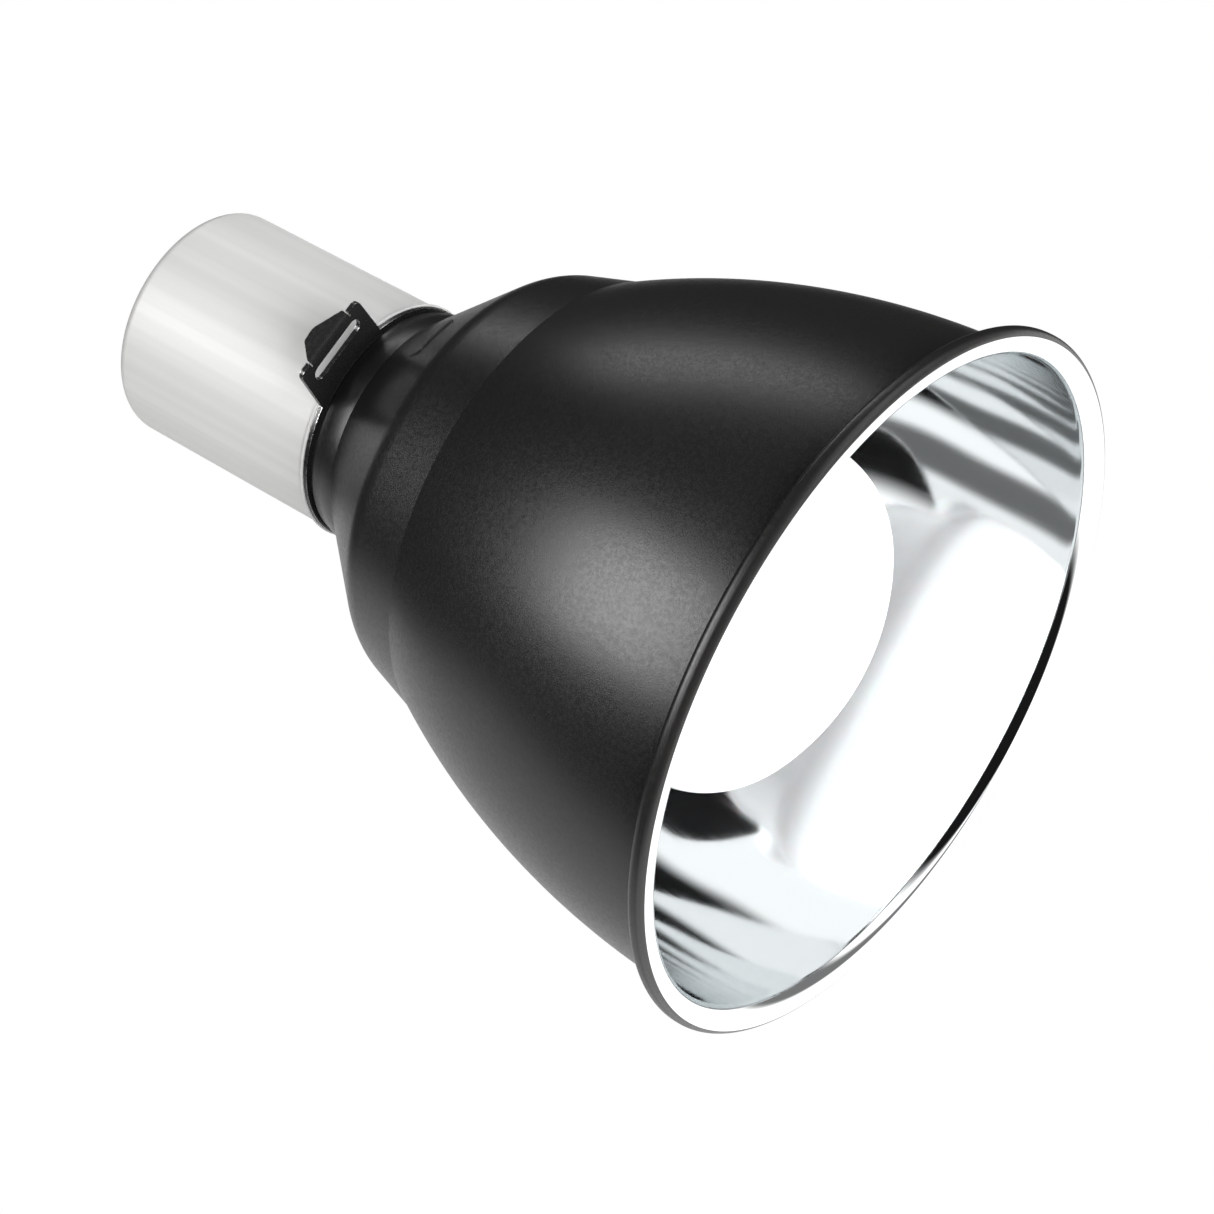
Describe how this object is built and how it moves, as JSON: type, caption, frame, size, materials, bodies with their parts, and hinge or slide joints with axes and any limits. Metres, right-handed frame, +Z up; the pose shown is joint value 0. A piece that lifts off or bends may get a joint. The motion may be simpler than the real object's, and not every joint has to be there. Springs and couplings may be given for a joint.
{
  "type": "hanging dome lamp",
  "caption": "Deep black dome lamp with polished inside, rolled lip, stepped neck, metal socket cover, slotted hanging tab and a white mushroom-shaped lamp in a screw holder.",
  "frame": {"origin": "centre of the mouth on the plane of the rolled lip, where the lamp rests when it stands mouth down", "axes": "+Z up the lamp's axis from the mouth to the cable inlet; the hanging tab points to -Y at rest"},
  "size_m": [0.2146, 0.2146, 0.2732],
  "materials": {
    "black_coat": "fine satin powder coat outside; the reflector's inside is polished bare aluminium",
    "badge": "satin",
    "black_steel": "gloss black, edges worn to bare steel",
    "cover_metal": "satin, lengthwise grain",
    "fibre": "matt",
    "ceramic": "glazed ceramic",
    "steel": "zinc plated",
    "brass": "nickel-plated or bare brass",
    "spring_steel": "bright wire",
    "bushing": "moulded",
    "opal_glass": "opal white, gloss",
    "clear_glass": "clear",
    "cap_metal": "rolled, satin",
    "cap_glass": "black glass",
    "solder": "soft solder"
  },
  "bodies": {
    "root": {"reflector_dome": "black_coat", "blank_badge": "badge", "shade_ring": "steel", "seat_gasket": "fibre", "socket_cover": "cover_metal", "holder_body": "ceramic", "thread_shell": "brass", "plunger_spring": "spring_steel", "centre_terminal": "brass", "shell_terminal": "brass", "terminal_screws": "brass", "holder_bridge": "steel", "bridge_screws": "steel", "threaded_nipple": "steel", "nipple_nuts": "steel", "lock_washer": "steel", "inlet_bushing": "bushing"},
    "hanger": {"hanger_ring": "black_steel"},
    "plunger": {"centre_plunger": "brass"},
    "lamp_tip": {"cap_contact": "solder"},
    "lamp": {"lamp_envelope": "opal_glass", "lamp_cap": "cap_metal", "cap_insulator": "cap_glass", "glass_stem": "clear_glass", "lamp_leads": "spring_steel", "filament": "spring_steel"}
  },
  "joints": [
    {"name": "ring_turn", "type": "hinge", "parent": "root", "child": "hanger", "pos_m": [0, 0, 0.1844], "axis": [0, 0, 1], "continuous": true},
    {"name": "contact_press", "type": "slide", "parent": "root", "child": "plunger", "axis": [0, 0, 1], "range_m": [0, 0.0015], "stiffness_N_per_m": 400, "springref_m": -0.001, "deforming": ["plunger_spring"]},
    {"name": "lamp_travel", "type": "slide", "parent": "root", "child": "lamp_tip", "axis": [0, 0, -1], "range_m": [0, 0.01634]},
    {"name": "lamp_turn", "type": "hinge", "parent": "lamp_tip", "child": "lamp", "pos_m": [0, 0, 0.175], "axis": [0, 0, -1], "range_deg": [0, 1620]}
  ],
  "couplings": [
    {"joint": "lamp_travel", "follows": "lamp_turn", "m_per_rad": 0.00057757}
  ]
}
